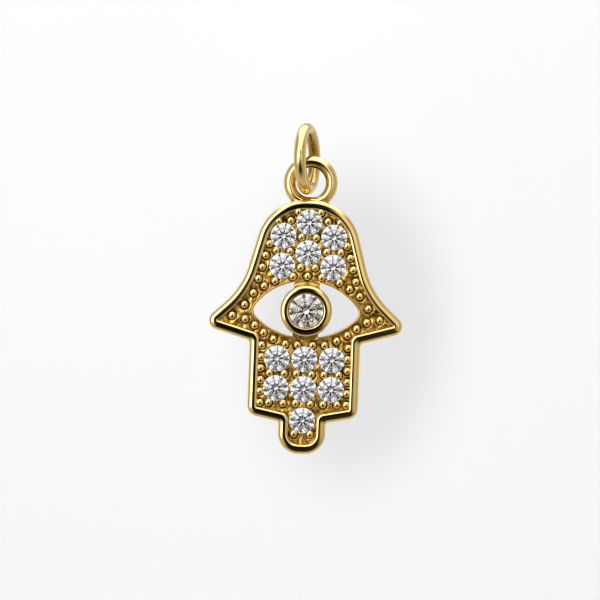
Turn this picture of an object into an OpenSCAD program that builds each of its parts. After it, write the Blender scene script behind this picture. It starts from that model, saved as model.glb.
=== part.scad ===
// Hamsa pendant: a cast hand with a pierced eye, set stones, a soldered loop and a jump ring.
// Millimetres, +Z up. The hand faces -Y and hangs below the origin, which is the inner top
// of the jump ring, where a chain would pass.

/* [Hand] */
// Width from thumb tip to thumb tip
hand_w = 11.32; // [11:0.02:11.8]
// Height of the round crown above the centre of the eye
crown_h = 6.53; // [6.4:0.01:7]
// Radius of the crown
crown_r = 2.91; // [2.8:0.01:3.1]
// Width of the flat stretch at the very top of the crown
crown_flat = 0.3; // [0.1:0.02:0.5]
// Lean of the sides from upright
side_lean = 15.3; // [14:0.1:17]
// Height of the shoulder bend above the centre of the eye
shoulder_h = 1.28; // [1.1:0.01:1.5]
// Radius of the shoulder bend
shoulder_r = 4.66; // [4:0.02:5]
// Drop of the thumb corner below the centre of the eye
thumb_drop = 0.99; // [0.9:0.01:1.1]
// Radius of the thumb tip
thumb_r = 0.57; // [0.56:0.01:0.7]
// Slope of the underside of the thumb
thumb_slope = 16; // [12:0.5:18]
// Width across the three fingers
fingers_w = 6.5; // [6.4:0.02:6.8]
// Reach of the outer fingers below the centre of the eye
fingers_reach = 6.17; // [6.1:0.01:6.4]
// Radius of the outer fingers' corners
fingers_r = 0.65; // [0.55:0.01:0.75]
// Drop of the outer fingers' ends from their corners to the notch, per millimetre
fingers_slope = 0.2; // [0.1:0.01:0.25]
// Width of the middle fingertip
fingertip_w = 2.78; // [2.7:0.02:3.1]
// Reach of the middle fingertip below the centre of the eye
fingertip_reach = 8.41; // [8.35:0.01:8.9]
// Radius of the middle fingertip
fingertip_r = 1.22; // [1.1:0.01:1.3]
// Radius of the bend under the thumb
wrist_r = 0.24; // [0.15:0.01:0.4]
// Radius of the notch beside the middle fingertip
notch_r = 0.2; // [0.12:0.01:0.3]

/* [Metal] */
// Thickness from the crest of the rim to the back
hand_t = 1.5; // [1.4:0.02:1.8]
// Width of the raised rim
rim_w = 0.54; // [0.44:0.01:0.55]
// Share of the rim's width that lies outside its crest
rim_crest = 0.69; // [0.5:0.01:0.75]
// Height of the rim's crest above the floor
rim_rise = 0.33; // [0.28:0.01:0.4]
// Depth of the plain hollow at the back
back_hollow = 0.1; // [0.06:0.01:0.2]
// Diameter of a raised bead
bead_d = 0.45; // [0.4:0.01:0.48]
// Height of a bead's middle above the floor
bead_rise = 0.09; // [0:0.01:0.12]
// Distance from the outline to the middle of a bead along the rim
bead_inset = 0.74; // [0.71:0.01:0.8]
// Distance between the beads down the leaning sides
side_pitch = 0.69; // [0.6:0.01:0.75]

/* [Eye] */
// Width of the pierced eye
eye_w = 6.47; // [6.2:0.01:6.6]
// Height of the upper lid above the corners of the eye
upper_lid_h = 1.85; // [1.75:0.01:1.95]
// Depth of the lower lid below the corners of the eye
lower_lid_h = 1.5; // [1.45:0.01:1.6]
// Drop of the corners of the eye below its centre
eye_drop = 0.09; // [0:0.01:0.15]
// Radius of the rounded corners of the eye
eye_corner_r = 0.5; // [0.3:0.01:0.6]
// Width of the fine lip round the opening
lip_w = 0.13; // [0.1:0.01:0.2]
// Height of the lip above the floor
lip_rise = 0.06; // [0.03:0.01:0.1]
// Width of the webs that carry the bezel
web_w = 1.5; // [1.2:0.02:1.8]
// Outer diameter of the bezel
bezel_d = 3.04; // [2.96:0.01:3.1]
// Height of the bezel's crest above the rim's crest
bezel_rise = 0.25; // [0.15:0.01:0.4]

/* [Stones] */
// Diameter of a small stone
stone_d = 1.5; // [1.4:0.01:1.52]
// Diameter of the stone in the eye
eye_stone_d = 2.1; // [2:0.01:2.16]
// Gap between a stone and the metal of its seat
seat_gap = 0.03; // [0.02:0.005:0.04]
// Distance from the top of the crown to the edge of its first stone
crown_margin = 0.57; // [0.55:0.01:0.62]
// Distance from the lower lid to the edge of the first stone below it
lid_margin = 0.5; // [0.4:0.01:0.55]
// Smallest gap between two stones in the crown
crown_gap = 0.21; // [0.18:0.01:0.24]
// Gap between two stones side by side on the fingers
row_gap = 0.12; // [0.1:0.01:0.15]
// Gap between two stones one above the other on the fingers
column_gap = 0.24; // [0.2:0.01:0.3]
// Gap between the fingers' stones and the fingertip's stone
tip_gap = 0.35; // [0.3:0.01:0.4]
// Diameter of the hole behind a small stone
light_d = 0.7; // [0.5:0.02:0.8]
// Diameter of the hole behind the stone in the eye
eye_light_d = 0.98; // [0.7:0.02:1.2]

/* [Loop and ring] */
// Outer diameter of the soldered loop
loop_d = 3.17; // [3:0.01:3.3]
// Thickness of the loop's wire
loop_wire = 0.7; // [0.62:0.01:0.74]
// Height of the loop's middle above the top of the crown
loop_rise = 1.02; // [0.9:0.01:1.1]
// Outer diameter of the jump ring
ring_d = 4.26; // [4:0.02:4.8]
// Thickness of the jump ring's wire
ring_wire = 0.71; // [0.58:0.01:0.74]
// Turn of the jump ring away from the middle plane of the hand
ring_turn = 14; // [0:0.5:20]
// Lean of the jump ring to the side
ring_lean = 2.1; // [0:0.1:4]
// Gap between the jump ring and the loop at their nearest
link_gap = 0.1; // [0.08:0.01:0.15]
// Place round the loop's hole where the ring lies, counted from the right
link_angle = 243; // [215:1:270]

/* [Hidden] */
$fn = 48;
gold = "gold";
crystal = "whitesmoke";
arc_step = 8;
arc_chord = 0.36;
hollow_growth = 0.3;
eps = 0.01;

// Heights above the middle plane of the metal, towards the viewer
rim_top = hand_t / 2;
floor_top = rim_top - rim_rise;
back_h = -hand_t / 2;
floor_back = back_h + back_hollow;
bezel_top = rim_top + bezel_rise;
bead_h = floor_top + bead_rise;
edge_cut = 0.05;

// Where the pieces hang
ring_r = (ring_d - ring_wire) / 2;
ring_hole_r = ring_r - ring_wire / 2;
loop_r = (loop_d - loop_wire) / 2;
loop_hole_r = loop_r - loop_wire / 2;
link_reach = loop_hole_r - ring_wire / 2 - link_gap;
ring_reach = ring_hole_r + ring_r;
loop_x = ring_reach * sin(ring_lean) - link_reach * cos(link_angle);
loop_z = -ring_reach * cos(ring_lean) - link_reach * sin(link_angle);
eye_z = loop_z - loop_rise - crown_h;

// Corners of the right half of the outline, from the fingertip up: [x, height, radius]
thumb_x = hand_w / 2 + 0.98 * thumb_r;
crown_x = crown_r * tan((90 - side_lean) / 2) + crown_flat / 2;
shoulder_x = crown_x + (crown_h - shoulder_h) * tan(side_lean);
wrist_z = -thumb_drop - (thumb_x - fingers_w / 2) * tan(thumb_slope);
notch_z = -fingers_reach - fingers_slope * (fingers_w - fingertip_w) / 2;
right_corners = [
    [fingertip_w / 2, -fingertip_reach, fingertip_r],
    [fingertip_w / 2, notch_z, notch_r],
    [fingers_w / 2, -fingers_reach, fingers_r],
    [fingers_w / 2, wrist_z, wrist_r],
    [thumb_x, -thumb_drop, thumb_r],
    [shoulder_x, shoulder_h, shoulder_r],
    [crown_x, crown_h, crown_r]
];
corner_count = len(right_corners);
corners = concat(right_corners, [
    for (i = [corner_count - 1 : -1 : 0])
        let (c = right_corners[i]) [-c[0], c[1], c[2]]
]);

// Lids of the eye: radius of each arc and height of its middle
lid_w = eye_w / 2;
upper_r = (lid_w * lid_w + upper_lid_h * upper_lid_h) / (2 * upper_lid_h);
lower_r = (lid_w * lid_w + lower_lid_h * lower_lid_h) / (2 * lower_lid_h);
upper_mid = upper_lid_h - eye_drop - upper_r;
lower_mid = lower_r - lower_lid_h - eye_drop;

// Middle of the round of the eye's corner, which touches both lids
corner_low = lower_r - eye_corner_r;
corner_high = upper_r - eye_corner_r;
lid_mids = upper_mid - lower_mid;
corner_z = (corner_low ^ 2 - corner_high ^ 2 + upper_mid ^ 2 - lower_mid ^ 2) / (2 * lid_mids);
corner_x = sqrt(corner_low ^ 2 - (corner_z - lower_mid) ^ 2);
lid_steps = 24;
corner_steps = 8;

// Small stones of the right half and the middle: [x, height]
crown_pitch = stone_d + crown_gap;
crown_top = crown_h - crown_margin - stone_d / 2;
column_x = stone_d + row_gap;
row_pitch = stone_d + column_gap;
row_1 = -eye_drop - lower_lid_h - lid_margin - stone_d / 2;
row_2 = row_1 - row_pitch;
tip_stone_z = row_2 - stone_d - tip_gap;
half_stones = [
    [0, crown_top],
    [0.872 * crown_pitch, crown_top - 0.49 * crown_pitch],
    [0, crown_top - 1.06 * crown_pitch],
    [0.877 * crown_pitch, crown_top - 1.527 * crown_pitch],
    [0, row_1],
    [column_x, row_1],
    [0, row_2],
    [column_x, row_2],
    [0, tip_stone_z]
];
stones = mirrored(half_stones);

// Beads that grip a stone: [stone, x, height], the last two as shares of the stone's diameter
prong_table = [
    [0, 0.44, 0.393],
    [1, -0.26, 0.6],
    [1, 0.207, 0.567],
    [2, 0.287, 0.613],
    [2, 0.287, -0.567],
    [3, -0.287, 0.587],
    [3, 0.267, 0.6],
    [6, 0.293, 0.58],
    [7, -0.3, 0.58],
    [7, 0.28, 0.58],
    [6, 0.293, -0.58],
    [7, -0.3, -0.58],
    [7, 0.267, -0.58],
    [8, 0.32, -0.533]
];
prongs = [
    for (p = prong_table)
        let (s = half_stones[p[0]]) [s[0] + p[1] * stone_d, s[1] + p[2] * stone_d]
];

// Beads above the eye: [share of the half eye, inset in bead diameters]
brow_table = [[0, 0.6], [0.262, 0.7], [0.586, 0.91], [0.778, 1], [0.966, 1.2], [1.123, 1.15]];
brow = [
    for (b = brow_table)
        [b[0] * lid_w, arc_height(upper_mid, upper_r + b[1] * bead_d, b[0] * lid_w, 1)]
];

// Beads below the eye, by the same columns
cheek_table = [[0.139, 0.96], [0.355, 1.15], [0.577, 1.13], [0.762, 1.02], [0.926, 0.98], [1.105, 1.27]];
cheek = [
    for (b = cheek_table)
        [b[0] * lid_w, arc_height(lower_mid, lower_r + b[1] * bead_d, b[0] * lid_w, -1)]
];

// Beads down the leaning sides, down the fingers' sides and in the thumbs
side_beads = 4;
side_first = half_stones[1][1] - 0.33 * stone_d;
side_inset = 1.05 * bead_inset / cos(side_lean);
sides = [
    for (i = [0 : side_beads - 1])
        let (z = side_first - i * side_pitch) [crown_x + (crown_h - z) * tan(side_lean) - side_inset, z]
];
finger_beads = 6;
finger_first = row_1 + stone_d / 2;
finger_last = row_2 - 0.58 * stone_d;
finger_pitch = (finger_last - finger_first) / (finger_beads - 1);
fingers = [
    for (i = [0 : finger_beads - 1])
        [fingers_w / 2 - 0.96 * bead_inset, finger_first + finger_pitch * i]
];
thumbs = [[hand_w / 2 - 1.8 * bead_inset, -0.4 * thumb_drop]];

// A bead's middle stays this far outside the edge of a stone, and one that comes nearer moves straight away
bead_grip = 0.1;
bead_reach = stone_d / 2 + bead_grip;
function off_stones(p) = let (
        gaps = [for (s = stones) norm(p - s)],
        near = min(gaps),
        s = [for (i = [0 : len(stones) - 1]) if (gaps[i] == near) stones[i]][0]
    )
    near < bead_reach ? s + (p - s) * bead_reach / near : p;
beads = [for (b = mirrored(concat(prongs, brow, cheek, sides, fingers, thumbs))) off_stones(b)];

// Shares of a round brilliant's diameter, and where its facets meet
table_share = 0.56;
crown_share = 0.15;
girdle_share = 0.03;
pavilion_share = 0.43;
star_reach = 0.4;
lower_reach = 0.2;
stone_h = floor_top + girdle_share * stone_d / 2;
eye_stone_h = bezel_top - 0.37;

// Points [x, y] with their mirror images, the middle ones once
function mirrored(pts) = concat(pts, [for (p = pts) if (abs(p[0]) > eps) [-p[0], p[1]]]);

// Height at x of an arc round a middle on the centre line, above it (side 1) or below (side -1)
function arc_height(mid, r, x, side) = mid + side * sqrt(r * r - x * x);

// Points along an arc, without its last
function arc_points(x, y, r, from, to, steps) = [
    for (i = [0 : steps - 1])
        let (a = from + (to - from) * i / steps) [x + r * cos(a), y + r * sin(a)]
];

function unit(v) = v / norm(v);
function turned(v, a) = [v[0] * cos(a) - v[1] * sin(a), v[0] * sin(a) + v[1] * cos(a)];

// Points round corner b between a and c, d inside the outline. A round outer corner tightens
// inwards; a tight hollow one opens only a little, as a bent wire does
function corner_arc(a, b, c, d) =
    let (
        d1 = unit([b[0] - a[0], b[1] - a[1]]),
        d2 = unit([c[0] - b[0], c[1] - b[1]]),
        bend = acos(d1 * d2),
        side = sign(d1[0] * d2[1] - d1[1] * d2[0]),
        n1 = [-d1[1], d1[0]],
        n2 = [-d2[1], d2[0]],
        corner = [b[0], b[1]] + (n1 + n2) * d / (1 + n1 * n2),
        r = b[2] - side * d * (side < 0 && b[2] < rim_w ? hollow_growth : 1),
        mid = corner - d1 * r * tan(bend / 2) + n1 * side * r,
        steps = ceil(max(bend / arc_step, bend * b[2] * PI / 180 / arc_chord))
    )
    [for (i = [0 : steps]) mid - turned(n1, side * bend * i / steps) * side * r];

// The outline moved inwards, with as many points for every distance
function inset(d) = let (n = len(corners)) [
    for (i = [0 : n - 1])
        each corner_arc(corners[(i + n - 1) % n], corners[i], corners[(i + 1) % n], d)
];

// Section of the rim: [distance inwards, height], up the outer wall, over the crest and down
crest_in = rim_crest * rim_w;
crest_power = 2 / 3;
outer_fall = 1.27 * rim_rise;
inner_fall = 0.15 * rim_rise;
outer_side = [
    for (a = [0 : 18 : 90]) [
        crest_in * (1 - pow(cos(a), crest_power)),
        rim_top - outer_fall * (1 - pow(sin(a), crest_power))
    ]
];
inner_side = [
    for (u = [0.25 : 0.25 : 1])
        [crest_in + (rim_w - crest_in) * u, rim_top - inner_fall * pow(u, 3)]
];
rim_section = concat(
    [[edge_cut, back_h], [0, back_h + edge_cut]],
    outer_side,
    inner_side,
    [[rim_w, back_h + edge_cut], [rim_w - edge_cut, back_h]]
);

// Closed ring swept round the outline
module rim() {
    turns = [for (q = rim_section) inset(q[0])];
    rings = len(turns[0]);
    sides = len(rim_section);
    points = [for (i = [0 : rings - 1]) for (j = [0 : sides - 1]) [each turns[j][i], rim_section[j][1]]];
    faces = [
        for (i = [0 : rings - 1])
            for (j = [0 : sides - 1])
                let (
                    a = i * sides + j,
                    b = i * sides + (j + 1) % sides,
                    c = ((i + 1) % rings) * sides + (j + 1) % sides,
                    d = ((i + 1) % rings) * sides + j
                )
                each [[a, b, c], [a, c, d]]
    ];
    polyhedron(points = points, faces = faces);
}

// Shape between the lids, grown by a margin
module lens(margin) {
    low = atan2(corner_z - lower_mid, corner_x);
    high = atan2(corner_z - upper_mid, corner_x);
    half = concat(
        arc_points(0, lower_mid, lower_r + margin, -90, low, lid_steps),
        arc_points(corner_x, corner_z, eye_corner_r + margin, low, high, corner_steps),
        arc_points(0, upper_mid, upper_r + margin, high, 90, lid_steps)
    );
    other = [for (i = [len(half) - 1 : -1 : 1]) [-half[i][0], half[i][1]]];
    polygon(concat(half, [[0, upper_mid + upper_r + margin]], other));
}

// Plate between the rims, with the fine lip of the eye
module floor_plate() {
    translate([0, 0, floor_back])
        linear_extrude(floor_top - floor_back) polygon(inset(rim_w / 2));
    linear_extrude(floor_top + lip_rise) lens(lip_w);
}

// The two openings beside the bezel
module eye_openings() {
    translate([0, 0, back_h - 1])
        linear_extrude(hand_t + 2)
            difference() {
                lens(0);
                square([web_w, 2 * hand_w], center = true);
                circle(d = bezel_d, $fn = 72);
            }
}

// Wall round the eye's stone: [radius, height], from the back over a broad round shoulder to
// the crest and steeply down to the lip that grips the stone
bezel_r = bezel_d / 2;
bezel_crest_r = eye_stone_d / 2 + 0.1;
bezel_fall = 0.34;
bezel_back = (back_h + floor_back) / 2;
grip_r = eye_stone_d / 2 - 0.06;
grip_lip = 0.035;
grip_h = eye_stone_h + 0.1;
lip_h = grip_h + grip_lip;
shoulder = [
    for (a = [0 : 15 : 90])
        [bezel_crest_r + (bezel_r - bezel_crest_r) * cos(a), bezel_top - bezel_fall * (1 - sin(a))]
];
inner_fall_r = bezel_crest_r - grip_r - grip_lip / 2;
bezel_inside = [
    for (a = [22.5 : 22.5 : 90])
        [bezel_crest_r - inner_fall_r * sin(a), lip_h + (bezel_top - lip_h) * cos(a)]
];
bezel_section = concat(
    [[0, bezel_back], [bezel_r, bezel_back]],
    shoulder,
    bezel_inside,
    [[grip_r, grip_h], [0, grip_h]]
);
module bezel() {
    rotate_extrude($fn = 72) polygon(bezel_section);
}

// Round wire loop on top of the crown
module loop() {
    translate([0, crown_h + loop_rise, 0])
        rotate_extrude($fn = 72) translate([loop_r, 0]) circle(d = loop_wire);
}

// Seat of a stone: its own outline with the gap round it, and a hole to the back
module seat(d, light_r) {
    r = d / 2 + seat_gap;
    half_girdle = girdle_share * d / 2;
    top = half_girdle + crown_share * d + seat_gap;
    cone_r = table_share * d / 2 + seat_gap;
    slope = pavilion_share * 2;
    rotate_extrude($fn = 72)
        polygon([
            [0, top],
            [cone_r, top],
            [r, half_girdle + seat_gap],
            [r, -half_girdle],
            [light_r, -half_girdle - (r - light_r) * slope],
            [light_r, -2 * hand_t],
            [0, -2 * hand_t]
        ]);
}

// Turns a piece drawn flat, face up, to hang with its face to the front
module hang() {
    translate([loop_x, 0, eye_z]) rotate([90, 0, 0]) children();
}

// Cast hand with rim, floor, bezel, loop and beads in one piece of metal
module hand() {
    color(gold) hang()
        difference() {
            union() {
                rim();
                floor_plate();
                bezel();
                loop();
                for (p = beads) translate([p[0], p[1], bead_h]) sphere(d = bead_d, $fn = 24);
            }
            eye_openings();
            for (p = stones) translate([p[0], p[1], stone_h]) seat(stone_d, light_d / 2);
            translate([0, 0, eye_stone_h]) seat(eye_stone_d, eye_light_d / 2);
        }
}

// Jump ring, upright and across the hand
module jump_ring() {
    color(gold)
        rotate([0, -ring_lean, 0]) translate([0, 0, -ring_hole_r]) rotate([0, 90, -ring_turn])
            rotate_extrude($fn = 96) translate([ring_r, 0]) circle(d = ring_wire);
}

// Round brilliant with its girdle round the origin, face up
module brilliant(d) {
    r = d / 2;
    g = girdle_share * d / 2;
    top = g + crown_share * d;
    table_r = table_share * r;
    star_r = table_r + star_reach * (r - table_r);
    star_z = g + (top - g) * (1 - (star_r * cos(22.5) - table_r) / (r - table_r));
    deep = g + pavilion_share * d;
    low_r = lower_reach * r;
    low_z = -deep + (deep - g) * low_r * cos(22.5) / r;
    points = concat(
        [for (i = [0 : 7]) [table_r * cos(45 * i), table_r * sin(45 * i), top]],
        [for (i = [0 : 7]) [star_r * cos(45 * i + 22.5), star_r * sin(45 * i + 22.5), star_z]],
        [for (i = [0 : 15]) [r * cos(22.5 * i), r * sin(22.5 * i), g]],
        [for (i = [0 : 15]) [r * cos(22.5 * i), r * sin(22.5 * i), -g]],
        [for (i = [0 : 7]) [low_r * cos(45 * i + 22.5), low_r * sin(45 * i + 22.5), low_z]],
        [[0, 0, -deep]]
    );
    // First point of each ring: stars, upper girdle, lower girdle, pavilion, culet
    st = 8;
    ug = 16;
    lg = 32;
    pv = 48;
    cu = 56;
    faces = concat(
        [[7, 6, 5, 4, 3, 2, 1, 0]],
        [for (i = [0 : 7]) let (n = (i + 1) % 8) [i, n, st + i]],
        [for (i = [0 : 7]) let (b = (i + 7) % 8) [i, st + i, ug + 2 * i, st + b]],
        [for (i = [0 : 7]) [st + i, ug + 2 * i + 1, ug + 2 * i]],
        [for (i = [0 : 7]) [st + i, ug + (2 * i + 2) % 16, ug + 2 * i + 1]],
        [for (i = [0 : 15]) let (n = (i + 1) % 16) [ug + i, ug + n, lg + n, lg + i]],
        [for (i = [0 : 7]) [lg + 2 * i, lg + 2 * i + 1, pv + i]],
        [for (i = [0 : 7]) [lg + 2 * i + 1, lg + (2 * i + 2) % 16, pv + i]],
        [for (i = [0 : 7]) let (b = (i + 7) % 8) [cu, pv + b, lg + 2 * i, pv + i]]
    );
    polyhedron(points = points, faces = faces);
}

// Stone of the eye
module eye_stone() {
    color(crystal) hang() translate([0, 0, eye_stone_h]) brilliant(eye_stone_d);
}

// One of the small stones
module small_stone(i) {
    color(crystal) hang() translate([stones[i][0], stones[i][1], stone_h]) brilliant(stone_d);
}

hand();
jump_ring();
eye_stone();
for (i = [1 : len(stones)])
    small_stone(i - 1);
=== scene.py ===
"""Dresses the packed hamsa pendant: mirror-polished metal, set stones and the studio round it."""

import math

import bpy
import numpy as np
from bpy.props import FloatProperty, FloatVectorProperty, PointerProperty
from mathutils import Matrix, Vector, geometry, noise


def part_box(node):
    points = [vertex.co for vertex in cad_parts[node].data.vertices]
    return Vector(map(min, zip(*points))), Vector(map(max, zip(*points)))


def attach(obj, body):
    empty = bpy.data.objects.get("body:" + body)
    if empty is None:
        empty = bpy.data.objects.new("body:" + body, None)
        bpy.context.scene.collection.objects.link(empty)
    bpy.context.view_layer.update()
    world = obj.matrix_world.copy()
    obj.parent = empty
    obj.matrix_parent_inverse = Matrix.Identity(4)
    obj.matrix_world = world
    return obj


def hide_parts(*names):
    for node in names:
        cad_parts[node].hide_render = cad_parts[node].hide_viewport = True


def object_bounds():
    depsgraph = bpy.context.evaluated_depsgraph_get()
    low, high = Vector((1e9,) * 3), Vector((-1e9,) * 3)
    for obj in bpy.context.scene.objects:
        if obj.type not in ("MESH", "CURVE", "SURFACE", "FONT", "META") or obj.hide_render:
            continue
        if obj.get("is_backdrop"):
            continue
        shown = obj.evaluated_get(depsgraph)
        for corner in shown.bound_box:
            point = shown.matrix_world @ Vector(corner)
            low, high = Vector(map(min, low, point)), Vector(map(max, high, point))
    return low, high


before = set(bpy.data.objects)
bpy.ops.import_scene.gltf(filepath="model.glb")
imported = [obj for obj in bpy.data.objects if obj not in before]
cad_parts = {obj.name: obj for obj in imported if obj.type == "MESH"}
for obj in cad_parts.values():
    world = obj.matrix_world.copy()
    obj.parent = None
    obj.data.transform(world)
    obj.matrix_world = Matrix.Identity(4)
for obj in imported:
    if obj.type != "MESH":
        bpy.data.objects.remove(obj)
CAD_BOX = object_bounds()

bl_info = {
    "name": "Hamsa Pendant",
    "version": (1, 0, 0),
    "blender": (4, 5, 0),
    "location": "3D View > Sidebar > Pendant",
    "description": "Builds the visible pieces of a cast hand pendant with set stones",
    "category": "Object",
}

MM = 0.001
HAND_LOW, HAND_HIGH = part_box("hand")
RING_LOW, RING_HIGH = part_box("jump_ring")
EYE_LOW, EYE_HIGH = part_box("eye_stone")
EYE_MIDDLE = (EYE_LOW + EYE_HIGH) / 2
STONE_NAMES = sorted(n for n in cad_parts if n.startswith("small_stone_"))
STONE_LOW, STONE_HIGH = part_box(STONE_NAMES[0])
# Shares of a brilliant's diameter: half the girdle, the crown and the pavilion
GIRDLE, CROWN, PAVILION = 0.015, 0.15, 0.43
# The eye stone's girdle lies this far below the crest of the bezel
EYE_GIRDLE_DROP = 0.37 * MM
# Degrees that the hand leans in the photo, while its ring hangs upright
LEAN = 2.1


def linear(hex_colour):
    """sRGB hex to a linear RGBA colour."""
    channels = [int(hex_colour[i : i + 2], 16) / 255 for i in (1, 3, 5)]
    return [c / 12.92 if c <= 0.04045 else ((c + 0.055) / 1.055) ** 2.4 for c in channels] + [1.0]


def measured(name, description, metres):
    """A size that the frame gives in metres."""
    return FloatProperty(name=name, description=description, default=metres, unit="LENGTH", precision=5)


def length(name, description, millimetres):
    """A size chosen in millimetres."""
    return measured(name, description, millimetres * MM)


def angle(name, description, degrees):
    """An angle chosen in degrees."""
    return FloatProperty(name=name, description=description, default=math.radians(degrees), subtype="ANGLE")


def share(name, description, default):
    """A share of another size."""
    return FloatProperty(name=name, description=description, default=default)


def colour(name, description, hex_colour):
    """A colour swatch, from its default in sRGB hex."""
    default = linear(hex_colour)
    return FloatVectorProperty(
        name=name, description=description, default=default, size=4, subtype="COLOR", min=0.0, max=1.0
    )


class HandSizes(bpy.types.PropertyGroup):
    """Sizes of the cast hand."""

    width: measured("Width", "From thumb tip to thumb tip", HAND_HIGH.x - HAND_LOW.x)
    thickness: length("Thickness", "From the crest of the rim to the back", 1.5)
    crown_height: length("Crown height", "Top of the crown above the eye", 6.53)
    crown_radius: length("Crown radius", "Radius of the crown", 2.91)
    crown_flat: length("Crown flat", "Flat stretch at the top of the crown", 0.3)
    side_lean: angle("Side lean", "Lean of the sides from upright", 15.3)
    shoulder_height: length("Shoulder height", "Shoulder bend above the eye", 1.28)
    shoulder_radius: length("Shoulder radius", "Radius of the shoulder bend", 4.66)
    thumb_drop: length("Thumb drop", "Thumb corner below the eye", 0.99)
    thumb_radius: length("Thumb radius", "Radius of the thumb tip", 0.57)
    thumb_slope: angle("Thumb slope", "Slope of the thumb's underside", 16)
    wrist_radius: length("Wrist radius", "Bend under the thumb", 0.24)
    fingers_width: length("Fingers width", "Across the three fingers", 6.5)
    fingers_reach: length("Fingers reach", "Outer fingers below the eye", 6.17)
    fingers_radius: length("Fingers radius", "Corners of the outer fingers", 0.65)
    fingers_slope: share("Fingers slope", "Fall of the outer fingers' ends towards the notch", 0.2)
    notch_radius: length("Notch radius", "Notch beside the middle fingertip", 0.2)
    tip_width: length("Fingertip width", "Width of the middle fingertip", 2.78)
    tip_reach: length("Fingertip reach", "Middle fingertip below the eye", 8.41)
    tip_radius: length("Fingertip radius", "Corners of the middle fingertip", 1.22)
    rim_width: length("Rim width", "Width of the raised rim", 0.54)
    rim_crest: share("Rim crest", "Share of the rim's width outside its crest", 0.69)
    rim_rise: length("Rim rise", "Crest of the rim above the floor", 0.33)
    back_hollow: length("Back hollow", "Depth of the plain hollow at the back", 0.1)
    bead: length("Bead", "Diameter of a raised bead", 0.45)
    bead_rise: length("Bead rise", "Middle of a bead above the floor", 0.09)
    bead_inset: length("Bead inset", "Middle of a bead from the outline", 0.74)
    side_pitch: length("Side pitch", "Between the beads down the leaning sides", 0.69)


class EyeSizes(bpy.types.PropertyGroup):
    """Sizes of the pierced eye and its bezel."""

    width: length("Width", "Width of the pierced eye", 6.47)
    upper_lid: length("Upper lid", "Upper lid above the corners", 1.85)
    lower_lid: length("Lower lid", "Lower lid below the corners", 1.5)
    drop: length("Drop", "Corners of the eye below its middle", 0.09)
    corner: length("Corner", "Radius of the opening's corners", 0.5)
    lip: length("Lip", "Width of the fine lip round the opening", 0.13)
    lip_rise: length("Lip rise", "Height of the lip above the floor", 0.06)
    web: length("Web", "Width of the webs that carry the bezel", 1.5)
    bezel: length("Bezel", "Outer diameter of the bezel", 3.04)
    bezel_rise: length("Bezel rise", "Crest of the bezel above the rim's", 0.25)


class StoneSizes(bpy.types.PropertyGroup):
    """Sizes of the stones and their spacing."""

    small: measured("Small stone", "Diameter of a small stone", STONE_HIGH.x - STONE_LOW.x)
    eye: measured("Eye stone", "Diameter of the eye's stone", EYE_HIGH.x - EYE_LOW.x)
    seat_gap: length("Seat gap", "Between a stone and its seat", 0.03)
    crown_margin: length("Crown margin", "Top of the crown to the first stone", 0.57)
    lid_margin: length("Lid margin", "Lower lid to the stones below", 0.5)
    crown_gap: length("Crown gap", "Between the crown's stones", 0.21)
    row_gap: length("Row gap", "Between stones side by side", 0.12)
    column_gap: length("Column gap", "Between stones one above the other", 0.24)
    tip_gap: length("Tip gap", "Above the fingertip's stone", 0.35)
    light_hole: length("Light hole", "Hole behind a small stone", 0.7)
    eye_light_hole: length("Eye light hole", "Hole behind the eye's stone", 0.98)


class LinkSizes(bpy.types.PropertyGroup):
    """Sizes of the soldered loop and the jump ring."""

    loop: length("Loop", "Outer diameter of the soldered loop", 3.17)
    loop_wire: length("Loop wire", "Thickness of the loop's wire", 0.7)
    loop_rise: length("Loop rise", "Middle of the loop above the crown", 1.02)
    ring: measured("Jump ring", "Outer diameter of the jump ring", RING_HIGH.z - RING_LOW.z)
    ring_wire: measured("Ring wire", "Thickness of the jump ring's wire", RING_HIGH.z)
    ring_turn: angle("Ring turn", "Turn of the ring from the hand's middle plane", 14)
    ring_lean: angle("Ring lean", "Lean of the ring to the side", LEAN)


class PendantColours(bpy.types.PropertyGroup):
    """Colours of the metal, the stones and the studio."""

    polished: colour("Polished gold", "Mirror-polished plating", "#F2D083")
    cast: colour("Cast gold", "Plated floor as cast", "#DFB25C")
    crystal: colour("Crystal", "Colourless stones", "#FFFFFF")
    backdrop: colour("Backdrop", "Pale paper behind and below", "#F8F8F8")


GROUPS = {
    "hamsa_hand": HandSizes,
    "hamsa_eye": EyeSizes,
    "hamsa_stones": StoneSizes,
    "hamsa_links": LinkSizes,
    "hamsa_colours": PendantColours,
}


def unit(v):
    return v / np.linalg.norm(v)


def turned(v, angle):
    c, s = math.cos(angle), math.sin(angle)
    return np.array([v[0] * c - v[1] * s, v[0] * s + v[1] * c])


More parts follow.
